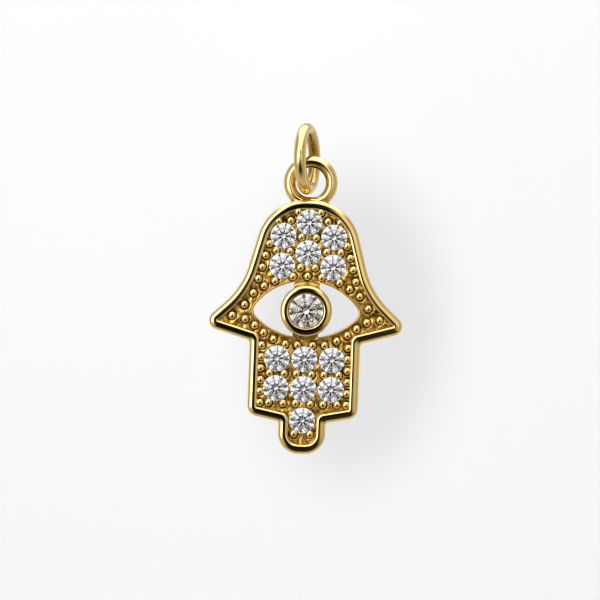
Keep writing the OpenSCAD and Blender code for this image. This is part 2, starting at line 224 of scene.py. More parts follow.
class Plan:
    """The hand drawn flat, [x, height] from the middle of the eye, in metres."""

    # Spacing of the outline's points, and what a tight hollow corner opens for each step inwards
    step = 0.075 * MM
    hollow_growth = 0.3

    def __init__(self, scene):
        self.hand = scene.hamsa_hand
        self.eye = scene.hamsa_eye
        self.stones = scene.hamsa_stones
        self.links = scene.hamsa_links
        hand, eye = self.hand, self.eye
        self.rim_top = hand.thickness / 2
        self.floor = self.rim_top - hand.rim_rise
        self.back = -hand.thickness / 2
        self.floor_back = self.back + hand.back_hollow
        self.bezel_top = self.rim_top + eye.bezel_rise
        self.eye_girdle = self.bezel_top - EYE_GIRDLE_DROP
        self.half_eye = eye.width / 2
        self.upper = self.lid(eye.upper_lid, 1)
        self.lower = self.lid(eye.lower_lid, -1)
        self.corner = self.corner_middle()
        self.turns = self.trace()
        self.half_stones = self.place_stones()
        self.beads = self.place_beads()

    def lid(self, rise, side):
        """(height of the arc's middle, its radius) of a lid."""
        r = (self.half_eye**2 + rise**2) / (2 * rise)
        return side * (rise - r) - self.eye.drop, r

    def corner_middle(self):
        """Middle of the round of the opening's corner, which touches both lids."""
        (low, low_r), (high, high_r) = self.lower, self.upper
        a, b = low_r - self.eye.corner, high_r - self.eye.corner
        z = (a**2 - b**2 - low**2 + high**2) / (2 * (high - low))
        return math.sqrt(a**2 - (z - low) ** 2), z

    def corner_turns(self):
        """Where the round of the corner starts on the lower lid and ends on the upper."""
        x, z = self.corner
        return math.atan2(z - self.lower[0], x), math.atan2(z - self.upper[0], x)

    def lens(self, margin, step, web=0.0):
        """Right half of the opening grown by margin, from the lower lid up, web away from the middle."""
        (low, low_r), (high, high_r) = self.lower, self.upper
        start, end = self.corner_turns()
        x, z = self.corner
        arcs = [
            (0, low, low_r + margin, math.asin(web / (low_r + margin)) - math.pi / 2, start),
            (x, z, self.eye.corner + margin, start, end),
            (0, high, high_r + margin, end, math.acos(web / (high_r + margin))),
        ]
        points = []
        for mx, mz, r, a, b in arcs:
            count = max(8, math.ceil((b - a) * r / step))
            turns = np.linspace(a, b, count + 1)[:-1]
            points += [(mx + r * math.cos(t), mz + r * math.sin(t)) for t in turns]
        return points + [(web, high + math.sqrt((high_r + margin) ** 2 - web**2))]

    def trace(self):
        """The corners of the outline, counter-clockwise from the fingertip."""
        hand = self.hand
        # The thumb's sharp corner lies nearly a radius beyond its round tip
        thumb_x = hand.width / 2 + 0.98 * hand.thumb_radius
        crown_x = hand.crown_radius * math.tan((math.pi / 2 - hand.side_lean) / 2) + hand.crown_flat / 2
        shoulder_x = crown_x + (hand.crown_height - hand.shoulder_height) * math.tan(hand.side_lean)
        wrist = -hand.thumb_drop - (thumb_x - hand.fingers_width / 2) * math.tan(hand.thumb_slope)
        notch = -hand.fingers_reach - hand.fingers_slope * (hand.fingers_width - hand.tip_width) / 2
        self.crown_x = crown_x
        right = [
            (hand.tip_width / 2, -hand.tip_reach, hand.tip_radius),
            (hand.tip_width / 2, notch, hand.notch_radius),
            (hand.fingers_width / 2, -hand.fingers_reach, hand.fingers_radius),
            (hand.fingers_width / 2, wrist, hand.wrist_radius),
            (thumb_x, -hand.thumb_drop, hand.thumb_radius),
            (shoulder_x, hand.shoulder_height, hand.shoulder_radius),
            (crown_x, hand.crown_height, hand.crown_radius),
        ]
        corners = right + [(-x, z, r) for x, z, r in reversed(right)]
        turns = []
        for i, (x, z, r) in enumerate(corners):
            here = np.array([x, z])
            before = unit(here - corners[i - 1][:2])
            after = unit(np.array(corners[(i + 1) % len(corners)][:2]) - here)
            bend = math.acos(float(np.clip(before @ after, -1, 1)))
            side = math.copysign(1, before[0] * after[1] - before[1] * after[0])
            turns.append((here, r, before, after, bend, side, max(8, math.ceil(bend * r / self.step))))
        return turns

    def inset(self, d):
        """The outline moved inwards by d, with as many points for every d."""
        arcs = [self.arc(turn, d) for turn in self.turns]
        plain = arcs if d == 0 else [self.arc(turn, 0) for turn in self.turns]
        points = []
        for i, arc in enumerate(arcs):
            count = max(1, int(np.linalg.norm(plain[i][0] - plain[i - 1][-1]) / self.step))
            start = arcs[i - 1][-1]
            points += [start + (arc[0] - start) * k / count for k in range(1, count)]
            points += arc
        return np.array(points)

    def arc(self, turn, d):
        """Points round a corner at inset d. A tight hollow one opens only a little, as a bent wire does."""
        here, r, before, after, bend, side, steps = turn
        first = np.array([-before[1], before[0]])
        second = np.array([-after[1], after[0]])
        here = here + (first + second) * d / (1 + first @ second)
        if side > 0:
            r = max(r - d, 0.01 * MM)
        else:
            r = r + d * (self.hollow_growth if r < self.hand.rim_width else 1)
        middle = here - before * r * math.tan(bend / 2) + first * side * r
        return [middle - turned(first, side * bend * i / steps) * side * r for i in range(steps + 1)]

    def place_stones(self):
        """Small stones of the right half and the middle."""
        s, hand, eye = self.stones, self.hand, self.eye
        pitch = s.small + s.crown_gap
        top = hand.crown_height - s.crown_margin - s.small / 2
        row = -eye.drop - eye.lower_lid - s.lid_margin - s.small / 2
        under = row - s.small - s.column_gap
        side = s.small + s.row_gap
        # The crown's stones stand in pitches from its top one
        return [
            (0, top),
            (0.872 * pitch, top - 0.49 * pitch),
            (0, top - 1.06 * pitch),
            (0.877 * pitch, top - 1.527 * pitch),
            (0, row),
            (side, row),
            (0, under),
            (side, under),
            (0, under - s.small - s.tip_gap),
        ]

    def place_beads(self):
        """Beads of both halves."""
        s, hand = self.stones, self.hand
        # Beads that grip a stone: stone, then x and height as shares of the stone's diameter
        prongs = [
            (0, 0.44, 0.393),
            (1, -0.26, 0.6),
            (1, 0.207, 0.567),
            (2, 0.287, 0.613),
            (2, 0.287, -0.567),
            (3, -0.287, 0.587),
            (3, 0.267, 0.6),
            (6, 0.293, 0.58),
            (7, -0.3, 0.58),
            (7, 0.28, 0.58),
            (6, 0.293, -0.58),
            (7, -0.3, -0.58),
            (7, 0.267, -0.58),
            (8, 0.32, -0.533),
        ]
        half = []
        for n, x, z in prongs:
            stone_x, stone_z = self.half_stones[n]
            half.append((stone_x + x * s.small, stone_z + z * s.small))
        # Beads along the lids: share of the half eye, then inset in bead diameters
        brow = [(0, 0.6), (0.262, 0.7), (0.586, 0.91), (0.778, 1), (0.966, 1.2), (1.123, 1.15)]
        cheek = [(0.139, 0.96), (0.355, 1.15), (0.577, 1.13), (0.762, 1.02), (0.926, 0.98), (1.105, 1.27)]
        for table, (middle, radius), side in ((brow, self.upper, 1), (cheek, self.lower, -1)):
            for share, inset in table:
                x = share * self.half_eye
                half.append((x, middle + side * math.sqrt((radius + inset * hand.bead) ** 2 - x**2)))
        # Down the leaning sides, down the fingers' sides and in the thumbs
        first = self.half_stones[1][1] - 0.33 * s.small
        inset = 1.05 * hand.bead_inset / math.cos(hand.side_lean)
        for i in range(4):
            z = first - i * hand.side_pitch
            half.append((self.crown_x + (hand.crown_height - z) * math.tan(hand.side_lean) - inset, z))
        top = self.half_stones[4][1] + s.small / 2
        bottom = self.half_stones[6][1] - 0.58 * s.small
        for i in range(6):
            half.append((hand.fingers_width / 2 - 0.96 * hand.bead_inset, top + (bottom - top) * i / 5))
        half.append((hand.width / 2 - 1.8 * hand.bead_inset, -0.4 * hand.thumb_drop))
        return np.array(both_halves(half))

    def lens_distance(self, points):
        """Distance outside the eye's opening, negative inside it."""
        x, z = np.abs(points[:, 0]), points[:, 1]
        upper, lower = (np.hypot(x, z - middle) - radius for middle, radius in (self.upper, self.lower))
        corner_x, corner_z = self.corner
        start, end = self.corner_turns()
        turn = np.arctan2(z - corner_z, x - corner_x)
        at_corner = (turn > start) & (turn < end)
        rounded = np.hypot(x - corner_x, z - corner_z) - self.eye.corner
        return np.where(at_corner, rounded, np.maximum(upper, lower))


def both_halves(points):
    """Points with their mirror images, the middle ones once."""
    return list(points) + [(-x, z) for x, z in points if abs(x) > 0.01 * MM]


def hang(points):
    """Flat points [x, height, towards the viewer] to their place in the frame."""
    points = np.asarray(points, float)
    return np.column_stack([points[:, 0] + EYE_MIDDLE.x, -points[:, 2], points[:, 1] + EYE_MIDDLE.z])


def circle(x, z, radius, count):
    turn = np.linspace(0, 2 * math.pi, count, endpoint=False)
    return np.column_stack([x + radius * np.cos(turn), z + radius * np.sin(turn)])


def quarter(steps, power=1):
    """(cosine, sine) round a quarter turn, each to a power: 1 for a plain round, less for a fuller one."""
    turns = [math.pi / 2 * i / steps for i in range(steps + 1)]
    return [(math.cos(a) ** power, math.sin(a) ** power) for a in turns]


def new_object(name, points, faces, finish, smooth):
    """A mesh in the scene. The function finish makes its material once, under the function's own name."""
    mesh = bpy.data.meshes.new(name)
    mesh.from_pydata([tuple(p) for p in points], [], [tuple(int(i) for i in f) for f in faces])
    mesh.validate()
    mesh.polygons.foreach_set("use_smooth", [smooth] * len(mesh.polygons))
    mesh.materials.append(bpy.data.materials.get(finish.__name__) or finish(finish.__name__))
    thing = bpy.data.objects.new(name, mesh)
    bpy.context.scene.collection.objects.link(thing)
    return thing


def add_piece(name, points, faces, finish, body, slot, replaced, crease=35.0, shade=None):
    """A piece, smooth but for edges sharper than crease degrees, with a shade from 0 to 1 a point."""
    piece = new_object(name, points, faces, finish, crease > 0)
    mesh = piece.data
    if crease > 0:
        mesh.set_sharp_from_angle(angle=math.radians(crease))
    if shade is not None:
        mesh.attributes.new("shade", "FLOAT", "POINT").data.foreach_set("value", [float(v) for v in shade])
    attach(piece, body)
    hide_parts(*replaced)


def add_to_hand(name, points, faces, finish, **looks):
    """A part of the hand's one metal, drawn flat."""
    add_piece(name, hang(points), faces, finish, "pendant", "gold", ["hand"], **looks)


def ring_faces(rings, sides, closed=True):
    """Quads between rings of points, each ring a closed loop of sides."""
    faces = []
    for i in range(rings if closed else rings - 1):
        j = (i + 1) % rings
        for k in range(sides):
            n = (k + 1) % sides
            faces.append((i * sides + k, i * sides + n, j * sides + n, j * sides + k))
    return faces


def rim_section(plan, steps=12):
    """Section of the rim, [distance inwards, height]: a round crest nearer to its inner side."""
    w = plan.hand.rim_width
    cut = 0.05 * MM
    outer = plan.hand.rim_crest * w
    inner = w - outer
    outer_fall = 1.27 * plan.hand.rim_rise
    crest = 2 / 3
    inner_fall = 0.15 * plan.hand.rim_rise
    points = [(cut, plan.back), (0.015 * MM, plan.back + 0.3 * cut), (0, plan.back + cut)]
    for across, up in quarter(steps, crest):
        points.append((outer - outer * across, plan.rim_top - outer_fall * (1 - up)))
    # Inwards the crest rolls over ever more steeply, and ends in a wall
    for i in range(1, steps + 1):
        u = i / steps
        points.append((outer + inner * u, plan.rim_top - inner_fall * u**3))
    points += [(w + 0.02 * MM, points[-1][1] - 0.03 * MM), (w + 0.025 * MM, points[-1][1] - 0.07 * MM)]
    points += [(w, plan.back + cut), (w - 0.015 * MM, plan.back + 0.3 * cut), (w - cut, plan.back)]
    return points


class HAMSA_OT_rim(bpy.types.Operator):
    """Sweep the raised rim round the hand"""

    bl_idname = "hamsa.rim"
    bl_label = "Rim"

    def execute(self, context):
        plan = Plan(context.scene)
        section = rim_section(plan)
        points = []
        for inwards, height in section:
            ring = plan.inset(inwards)
            points += [(x, z, height) for x, z in ring]
        faces = [face[::-1] for face in ring_faces(len(section), len(ring))]
        add_to_hand("hand_rim", points, faces, polished_gold_plate)
        return {"FINISHED"}


def lens_loop(plan):
    """The eye's opening with the bezel's disc, counter-clockwise."""
    web = plan.eye.web / 2
    # The floor ends inside the bezel's metal
    disc = plan.eye.bezel / 2 - 0.08 * MM
    reach = math.acos(web / disc)
    right = plan.lens(0, 0.06 * MM, web)
    left = [(-x, z) for x, z in reversed(right)]
    over = [(disc * math.cos(t), disc * math.sin(t)) for t in np.linspace(reach, math.pi - reach, 20)]
    under = [(-x, -z) for x, z in over]
    return np.array(right + over + left + under)


def floor_height(plan, points):
    """Height of the cast floor: lumps left by the mould, a groove at each bead's foot and the eye's lip."""
    eye = plan.eye
    lumps = ((0.36 * MM, 0.055 * MM), (0.2 * MM, 0.015 * MM))
    calm_shore, web_shore = 0.15 * MM, 0.1 * MM
    groove_middle, groove_half, groove_depth = 0.01 * MM, 0.07 * MM, 0.05 * MM
    fillet, fillet_rise = 0.16 * MM, 0.12 * MM
    x, z = points[:, 0], points[:, 1]
    relief = np.zeros(len(points))
    for wave, rise in lumps:
        relief += rise * np.array([noise.noise(Vector((px / wave, pz / wave, 3.0))) for px, pz in points])
    lid = plan.lens_distance(points)
    calm = np.clip((lid - eye.lip) / calm_shore, 0, 1)
    gap = np.sqrt(((points[:, None, :] - plan.beads[None, :, :]) ** 2).sum(2)).min(1) - plan.hand.bead / 2
    foot = np.clip(1 - np.abs(gap - groove_middle) / groove_half, 0, 1)
    across = np.clip(lid / eye.lip, 0, 1)
    beside_web = np.clip((np.abs(x) - eye.web / 2) / web_shore + 1, 0, 1)
    lip = np.sqrt(np.clip(1 - (2 * across - 1) ** 2, 0, 1)) * (lid < eye.lip) * beside_web
    # The webs rise to the bezel
    web = np.clip(1 - (np.hypot(x, z) - eye.bezel / 2) / fillet, 0, 1) ** 2
    return plan.floor + relief * calm - groove_depth * foot + eye.lip_rise * lip + fillet_rise * web


def nearest(points, line):
    """Distance of each point from the nearest of a dense line's points."""
    found = np.full(len(points), np.inf)
    for start in range(0, len(points), 2000):
        part = points[start : start + 2000]
        gap = ((part[:, None, :] - line[None, :, :]) ** 2).sum(2).min(1)
        found[start : start + 2000] = np.sqrt(gap)
    return found


def inside(points, loop):
    """Which points lie inside a closed loop."""
    a, b = loop, np.roll(loop, -1, axis=0)
    result = np.zeros(len(points), bool)
    for (x1, z1), (x2, z2) in zip(a, b):
        crosses = (z1 > points[:, 1]) != (z2 > points[:, 1])
        if z1 != z2:
            at = x1 + (points[:, 1] - z1) * (x2 - x1) / (z2 - z1)
            result ^= crosses & (points[:, 0] < at)
    return result


def fill(outer, holes, loose):
    """Triangles between an outer loop and holes, over loose inner points. The loops' points come first."""
    loops = [outer] + holes
    points = np.concatenate(loops + [loose])
    edges, start = [], 0
    for loop in loops:
        count = len(loop)
        edges += [(start + i, start + (i + 1) % count) for i in range(count)]
        start += count
    scaled = [Vector(p / MM) for p in points]
    found = geometry.delaunay_2d_cdt(scaled, edges, [], 0, 1e-6)
    made = np.array([v[:] for v in found[0]]) * MM
    faces = np.array(found[2])
    middle = made[faces].mean(1)
    keep = inside(middle, outer)
    for hole in holes:
        keep &= ~inside(middle, hole)
    place = np.array([min(sources) if sources else -1 for sources in found[3]])
    result = np.zeros((len(points), 2))
    result[place] = made
    return result, place[faces[keep]]


class HAMSA_OT_floor(bpy.types.Operator):
    """Fill the hand with its cast floor, pierced for the eye and the seats"""

    bl_idname = "hamsa.floor"
    bl_label = "Floor"

    def execute(self, context):
        plan = Plan(context.scene)
        s = plan.stones
        # The floor ends inside the rim's metal
        outer = plan.inset(0.3 * MM)[::3]
        seats = both_halves(plan.half_stones)
        seat_r = s.small / 2 + s.seat_gap
        light_r = s.light_hole / 2
        sides = 48
        lens = lens_loop(plan)
        tops = [lens] + [circle(x, z, seat_r, sides) for x, z in seats]
        top, top_faces = fill(outer, tops, self.spread(plan, outer, tops, seats, seat_r))
        top = np.column_stack([top, floor_height(plan, top)])
        bottoms = [lens] + [circle(x, z, light_r, sides) for x, z in seats]
        bottom, bottom_faces = fill(outer, bottoms, np.zeros((0, 2)))
        bottom = np.column_stack([bottom, np.full(len(bottom), plan.floor_back)])
        points = list(top) + list(bottom)
        faces = [tuple(f) for f in top_faces]
        base = len(top)
        faces += [tuple(base + i for i in reversed(f)) for f in bottom_faces]
        # Walls of the outside and the eye's opening, then of the seats
        start = 0
        for n, loop in enumerate([outer, lens]):
            count = len(loop)
            for i in range(count):
                j = (i + 1) % count
                quad = (start + i, start + j, base + start + j, base + start + i)
                faces.append(quad if n else quad[::-1])
            start += count
        # Each seat goes straight down past the girdle, then as a cone to its light hole
        girdle = plan.floor - 0.015 * MM
        cone = girdle - (seat_r - light_r) * 2 * PAVILION
        for n, (x, z) in enumerate(seats):
            rings = [[start + n * sides + i for i in range(sides)]]
            for radius, height in ((seat_r, girdle), (light_r, cone)):
                first = len(points)
                points += [(px, pz, height) for px, pz in circle(x, z, radius, sides)]
                rings.append([first + i for i in range(sides)])
            rings.append([base + start + n * sides + i for i in range(sides)])
            for upper, lower in zip(rings, rings[1:]):
                for i in range(sides):
                    j = (i + 1) % sides
                    faces.append((upper[i], upper[j], lower[j], lower[i]))
        # Painted shade: darker the lower the floor lies, in its hollows, and along the feet of the rim and
        # the bezel
        flat, hollow, corner = 0.12, 0.045 * MM, 0.16 * MM
        by_rim = nearest(top[:, :2], plan.inset(plan.hand.rim_width))
        by_bezel = np.hypot(top[:, 0], top[:, 1]) - plan.eye.bezel / 2
        by_corner = 0.9 * (1 - np.minimum(by_rim, by_bezel) / corner)
        shade = np.zeros(len(points))
        shade[: len(top)] = np.clip(np.maximum(flat + (plan.floor - top[:, 2]) / hollow, by_corner), 0, 1)
        add_to_hand("hand_floor", points, faces, cast_gold_plate, crease=50, shade=shade)
        return {"FINISHED"}

    def spread(self, plan, outer, holes, seats, seat_r):
        """Points over the floor, closer together round the beads, the seats, the lip and the rim."""
        step = 0.085 * MM
        low, high = outer.min(0), outer.max(0)
        xs = np.arange(low[0], high[0], step)
        zs = np.arange(low[1], high[1], step * 0.866)
        grid = np.array([(x + (step / 2 if n % 2 else 0), z) for n, z in enumerate(zs) for x in xs])
        # Rounds in shares of a bead's radius, and the others in millimetres or shares of the lip
        bead = plan.hand.bead / 2
        close = [circle(x, z, bead * r, 24) for x, z in plan.beads for r in (0.75, 0.92, 1.08, 1.3)]
        close += [circle(x, z, seat_r + out * MM, 48) for x, z in seats for out in (0.03, 0.07)]
        for across in (0.12, 0.3, 0.5, 0.7, 0.88, 1.0, 1.2):
            close.append(both_halves(plan.lens(across * plan.eye.lip, 0.05 * MM)))
        close += [plan.inset(plan.hand.rim_width + d * MM)[::2] for d in (0, 0.03, 0.06, 0.1)]
        close = np.concatenate(close)
        points = np.concatenate([close, grid[nearest(grid, close) > 0.05 * MM]])
        keep = inside(points, plan.inset(0.34 * MM)[::2])
        for hole in holes:
            keep &= ~inside(points, hole) & (nearest(points, hole) > 0.02 * MM)
        return points[keep]


class HAMSA_OT_beads(bpy.types.Operator):
    """Raise the small round beads that grip the stones and edge the hand"""

    bl_idname = "hamsa.beads"
    bl_label = "Beads"

    def execute(self, context):
        plan = Plan(context.scene)
        rng = np.random.default_rng(7)
        stray = 0.012
        points, faces, shade = [], [], []
        for x, z in plan.beads:
            radius = plan.hand.bead / 2 * rng.uniform(1.02, 1.1)
            x += rng.uniform(-stray, stray) * MM
            z += rng.uniform(-stray, stray) * MM
            self.ball(points, faces, shade, x, z, plan.floor + plan.hand.bead_rise, radius)
        add_to_hand("hand_beads", points, faces, polished_gold_plate, crease=80, shade=shade)
        return {"FINISHED"}

    def ball(self, points, faces, shade, x, z, height, radius, sides=28, rows=18):
        """A ball whose top is a little fuller than round, as the punch leaves it."""
        first = len(points)
        points.append((x, z, height + radius))
        shade.append(0.0)
        for row in range(1, rows):
            a = math.pi * row / rows
            full = 0.8 if 2 * row < rows else 1.0
            rise = math.copysign(radius * abs(math.cos(a)) ** full, math.cos(a))
            round_row = circle(x, z, radius * math.sin(a) ** full, sides)
            points += [(px, pz, height + rise) for px, pz in round_row]
            # Painted shade, darker over the ball's lower half and full at its bottom
            shade += [soft_step(55, 90, math.degrees(a))] * sides
        points.append((x, z, height - radius))
        shade.append(1.0)
        last = len(points) - 1
        for k in range(sides):
            n = (k + 1) % sides
            faces.append((first, first + 1 + k, first + 1 + n))
            for row in range(rows - 2):
                a = first + 1 + row * sides
                faces.append((a + k, a + sides + k, a + sides + n, a + n))
            a = first + 1 + (rows - 2) * sides
            faces.append((a + k, last, a + n))


class HAMSA_OT_bezel(bpy.types.Operator):
    """Turn the bezel round the eye's stone"""

    bl_idname = "hamsa.bezel"
    bl_label = "Bezel"

    def execute(self, context):
        plan = Plan(context.scene)
        s = plan.stones
        stone_r = s.eye / 2
        outer = plan.eye.bezel / 2
        light_r = s.eye_light_hole / 2
        crest_r = 1.15 * MM
        back = (plan.back + plan.floor_back) / 2
        girdle = plan.eye_girdle
        grip = girdle + 0.1 * MM
        grip_top = grip + 0.035 * MM
        outer_fall = 0.34 * MM
        full = 0.6
        profile = [(light_r, back), (outer - 0.03 * MM, back), (outer, back + 0.03 * MM)]
        # The outer flank, a full round shoulder
        for out, up in quarter(18, full):
            profile.append((crest_r + (outer - crest_r) * out, plan.bezel_top - outer_fall * (1 - up)))
        # The steep fall to the grip
        for up, inwards in quarter(12, full)[1:]:
            r = crest_r - (crest_r - stone_r + 0.045 * MM) * inwards
            profile.append((r, grip_top + (plan.bezel_top - grip_top) * up))
        seat = girdle - 0.03 * MM
        profile += [
            (stone_r - 0.05 * MM, grip),
            (stone_r - 0.06 * MM, grip - 0.02 * MM),
            (stone_r + s.seat_gap, girdle + 0.03 * MM),
            (stone_r + s.seat_gap, seat),
            (light_r, seat - (stone_r - light_r) * 2 * PAVILION),
        ]
        sides = 128
        points = []
        for k in range(sides):
            a = 2 * math.pi * k / sides
            points += [(r * math.cos(a), r * math.sin(a), h) for r, h in profile]
        faces = ring_faces(sides, len(profile))
        # Painted shade, darker down the steep fall inside the crest
        shade = []
        for r, h in profile:
            shade.append(0.85 * soft_step(crest_r - 0.07 * MM, stone_r, r) if h > girdle else 0.0)
        add_to_hand("hand_bezel", points, faces, polished_gold_plate, crease=40, shade=shade * sides)
        return {"FINISHED"}


def bent_wire(rings, place):
    """Points, faces and shade of a closed wire, dark on its inner side.

    Place gives a point by its turn round the ring and by shares of the wire's radius, out and sideways."""
    sides = 40
    points, shade = [], []
    for i in range(rings):
        for k in range(sides):
            b = 2 * math.pi * k / sides
            points.append(place(2 * math.pi * i / rings, math.cos(b), math.sin(b)))
            shade.append(0.85 * max(0.0, -math.cos(b)) ** 2)
    return points, ring_faces(rings, sides), shade


class HAMSA_OT_loop(bpy.types.Operator):
    """Bend the wire loop and solder it to the crown"""

    bl_idname = "hamsa.loop"
    bl_label = "Loop"

    def execute(self, context):
        plan = Plan(context.scene)
        links = plan.links
        middle = plan.hand.crown_height + links.loop_rise
        radius = (links.loop - links.loop_wire) / 2
        wire = links.loop_wire / 2
        swell, foot, reach = 0.12, 270, 21

        def place(turn, out, side):
            # The solder swells the wire where it meets the crown
            grown = wire * (1 + swell * math.exp(-(((math.degrees(turn) - foot) / reach) ** 2)))
            r = radius + grown * out
            return r * math.cos(turn), middle + r * math.sin(turn), grown * side

        points, faces, shade = bent_wire(144, place)
        add_to_hand("hand_loop", points, faces, polished_gold_plate, shade=shade)
        return {"FINISHED"}


class HAMSA_OT_ring(bpy.types.Operator):
    """Bend the jump ring that carries the hand"""

    bl_idname = "hamsa.ring"
    bl_label = "Jump ring"

    def execute(self, context):
        links = context.scene.hamsa_links
        radius = (links.ring - links.ring_wire) / 2
        wire = links.ring_wire / 2
        lean = Matrix.Rotation(-links.ring_lean, 3, "Y")
        up = lean @ Vector((0, 0, 1))
        across = lean @ Vector((math.sin(links.ring_turn), math.cos(links.ring_turn), 0))
        axis = lean @ Vector((math.cos(links.ring_turn), -math.sin(links.ring_turn), 0))
        middle = up * (wire - radius)

        def place(turn, out, side):
            outwards = across * math.cos(turn) + up * math.sin(turn)
            return middle + outwards * (radius + wire * out) + axis * wire * side

        points, faces, shade = bent_wire(160, place)
        add_piece("ring_wire", points, faces, polished_gold_plate, "ring", "gold", ["jump_ring"], shade=shade)
        return {"FINISHED"}


def brilliant(diameter, sub=4):
    """Round brilliant, face up round its girdle: points and planar faces."""
    r = diameter / 2
    g = GIRDLE * diameter
    top = g + CROWN * diameter
    deep = g + PAVILION * diameter
    table = 0.56 * r
    star = table + 0.4 * (r - table)
    star_z = g + (top - g) * (1 - (star * math.cos(math.pi / 8) - table) / (r - table))
    low = 0.2 * r
    low_z = -deep + (deep - g) * low * math.cos(math.pi / 8) / r
    points, faces = [], []

    def add(radius, angle, z):
        points.append((radius * math.cos(angle), radius * math.sin(angle), z))
        return len(points) - 1

    eighth = math.pi / 4
    tables = [add(table, i * eighth, top) for i in range(8)]
    stars = [add(star, (i + 0.5) * eighth, star_z) for i in range(8)]
    lows = [add(low, (i + 0.5) * eighth, low_z) for i in range(8)]
    culet = add(0, 0, -deep)
    faces.append(tables)

    def girdle(inner, height):
        """The girdle's points, on the round and on the planes of the facets that meet it."""
        loop = []
        for i in range(16):
            a, b = i * eighth / 2, (i + 1) * eighth / 2
            corner = np.array(points[inner[i // 2]])
            start = np.array([r * math.cos(a), r * math.sin(a), height])
            end = np.array([r * math.cos(b), r * math.sin(b), height])
            normal = np.cross(start - corner, end - corner)
            for k in range(sub):
                t = a + (b - a) * k / sub
                x, y = r * math.cos(t), r * math.sin(t)
                z = corner[2] - (normal[0] * (x - corner[0]) + normal[1] * (y - corner[1])) / normal[2]
                loop.append(add(r, t, z))
        return loop

    upper = girdle(stars, g)
    lower = girdle(lows, -g)
    count = len(upper)
    for i in range(8):
        n, b = (i + 1) % 8, (i + 7) % 8
        faces.append((tables[n], tables[i], stars[i]))
        main = upper[2 * i * sub]
        faces.append((tables[i], stars[b], main, stars[i]))
        faces.append((culet, lows[i], lower[2 * i * sub], lows[b]))
        for half in range(2):
            first = (2 * i + half) * sub
            run = [upper[(first + k) % count] for k in range(sub + 1)]
            faces.append([stars[i]] + run)
            run = [lower[(first + k) % count] for k in range(sub + 1)]
            faces.append([lows[i]] + run[::-1])
    for i in range(count):
        n = (i + 1) % count
        faces.append((upper[i], lower[i], lower[n], upper[n]))
    return np.array(points), faces


def set_stone(name, diameter, x, z, height, turn, tilt, replaced):
    """Cuts a stone and sets it, turned and barely tilted as a hand would set it."""
    points, faces = brilliant(diameter)
    tilted = Matrix.Rotation(tilt[0], 3, "X") @ Matrix.Rotation(tilt[1], 3, "Y")
    spin = tilted @ Matrix.Rotation(turn, 3, "Z")
    points = points @ np.array(spin).T + np.array([x, z, height])
    add_piece(name, hang(points), faces, cut_zirconia, "pendant", "crystal", [replaced], crease=0)


class HAMSA_OT_small_stones(bpy.types.Operator):
    """Set the small stones"""

    bl_idname = "hamsa.small_stones"
    bl_label = "Small stones"

    def execute(self, context):
        plan = Plan(context.scene)
        rng = np.random.default_rng(3)
        size = plan.stones.small
        height = plan.floor + GIRDLE * size
        lean = 0.6
        for x, z in both_halves(plan.half_stones):
            node = min(STONE_NAMES, key=lambda n: self.away(n, x, z))
            turn = rng.uniform(0, math.pi / 4)
            tilt = [math.radians(rng.uniform(-lean, lean)) for _ in range(2)]
            set_stone(node.replace("small", "pave"), size, x, z, height, turn, tilt, node)
        return {"FINISHED"}

    def away(self, node, x, z):
        """How far a stone of the frame is from a place in the plan."""
        low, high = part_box(node)
        middle = (low + high) / 2 - EYE_MIDDLE
        return math.hypot(middle.x - x, middle.z - z)


class HAMSA_OT_eye_stone(bpy.types.Operator):
    """Set the stone in the eye"""

    bl_idname = "hamsa.eye_stone"
    bl_label = "Eye stone"

    def execute(self, context):
        plan = Plan(context.scene)
        turn = math.radians(11)
        set_stone("eye_brilliant", plan.stones.eye, 0, 0, plan.eye_girdle, turn, (0, 0), "eye_stone")
        return {"FINISHED"}


def new_material(name, surface="ShaderNodeBsdfPrincipled"):
    """(material, its nodes, the surface shader)."""
    material = bpy.data.materials.new(name)
    material.use_nodes = True
    tree = material.node_tree
    tree.nodes.clear()
    shader = add_node(tree, surface)
    add_node(tree, "ShaderNodeOutputMaterial", Surface=shader.outputs[0])
    return material, tree, shader


def add_node(tree, kind, settings=None, **links):
    """A node with its settings, and its inputs linked or set by name."""
    node = tree.nodes.new(kind)
    for key, value in (settings or {}).items():
        setattr(node, key, value)
    for key, value in links.items():
        socket = node.inputs[key.replace("_", " ")]
        if isinstance(value, bpy.types.NodeSocket):
            tree.links.new(value, socket)
        else:
            socket.default_value = value
    return node


def gold_plate(name, tint):
    """Gold plate, browner by the mesh's shade where no wheel reaches: (material, nodes, shader, place)."""
    material, tree, shader = new_material(name)
    shade = add_node(tree, "ShaderNodeAttribute", {"attribute_name": "shade"}).outputs["Fac"]
    # At full painted shade: hue from 0.5, a little redder, saturation and value from 1, deeper and dimmer
    painted_shading = {}
    for key, clean, full in (("Hue", 0.5, 0.493), ("Saturation", 1.0, 1.12), ("Value", 1.0, 0.25)):
        change = add_node(tree, "ShaderNodeMapRange", Value=shade, To_Min=clean, To_Max=full)
        painted_shading[key] = change.outputs["Result"]
    shaded_tint = add_node(tree, "ShaderNodeHueSaturation", Color=tint, **painted_shading)
    tree.links.new(shaded_tint.outputs["Color"], shader.inputs["Base Color"])
    shader.inputs["Metallic"].default_value = 1.0
    return material, tree, shader, add_node(tree, "ShaderNodeTexCoord").outputs["Object"]


def grained(tree, shader, place, size, detail, rough, low, high):
    """Varies the roughness from low to high in grains of a size, and gives the grains."""
    scale = 1 / size
    noises = add_node(tree, "ShaderNodeTexNoise", Vector=place, Scale=scale, Detail=detail, Roughness=rough)
    grains = noises.outputs["Fac"]
    ends = {"From_Min": 0.3, "From_Max": 0.7, "To_Min": low, "To_Max": high}
    spread = add_node(tree, "ShaderNodeMapRange", Value=grains, **ends)
    tree.links.new(spread.outputs["Result"], shader.inputs["Roughness"])
    return grains


